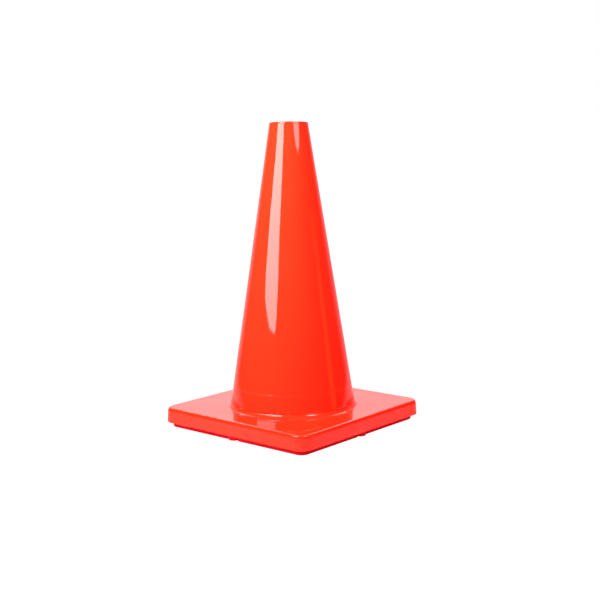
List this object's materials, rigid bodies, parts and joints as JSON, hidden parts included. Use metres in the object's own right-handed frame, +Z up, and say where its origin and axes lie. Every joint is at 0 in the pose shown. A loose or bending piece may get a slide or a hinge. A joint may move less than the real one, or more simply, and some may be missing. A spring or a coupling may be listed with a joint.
{
  "type": "traffic cone",
  "caption": "Square-based flexible traffic cone: a hollow tapered cone with an open lipped tip, a bevelled pan over its foot and a ballast slab held under the pan.",
  "frame": {"origin": "centre of the slab's underside, on the surface that the cone stands on", "axes": "+Z up along the cone's axis, +X and +Y square to the base's sides"},
  "size_m": [0.283, 0.283, 0.4572],
  "materials": {
    "cone_pvc": "glossy fluorescent red-orange moulded PVC",
    "cover_pvc": "glossy fluorescent red-orange moulded PVC",
    "slab_pvc": "satin red-orange filled PVC",
    "plug_pvc": "satin red-orange moulded PVC"
  },
  "bodies": {
    "root": {"cone_body": "cone_pvc", "base_cover": "cover_pvc", "ballast_slab": "slab_pvc", "retaining_plug_front": "plug_pvc", "retaining_plug_right": "plug_pvc", "retaining_plug_back": "plug_pvc", "retaining_plug_left": "plug_pvc"}
  },
  "joints": []
}
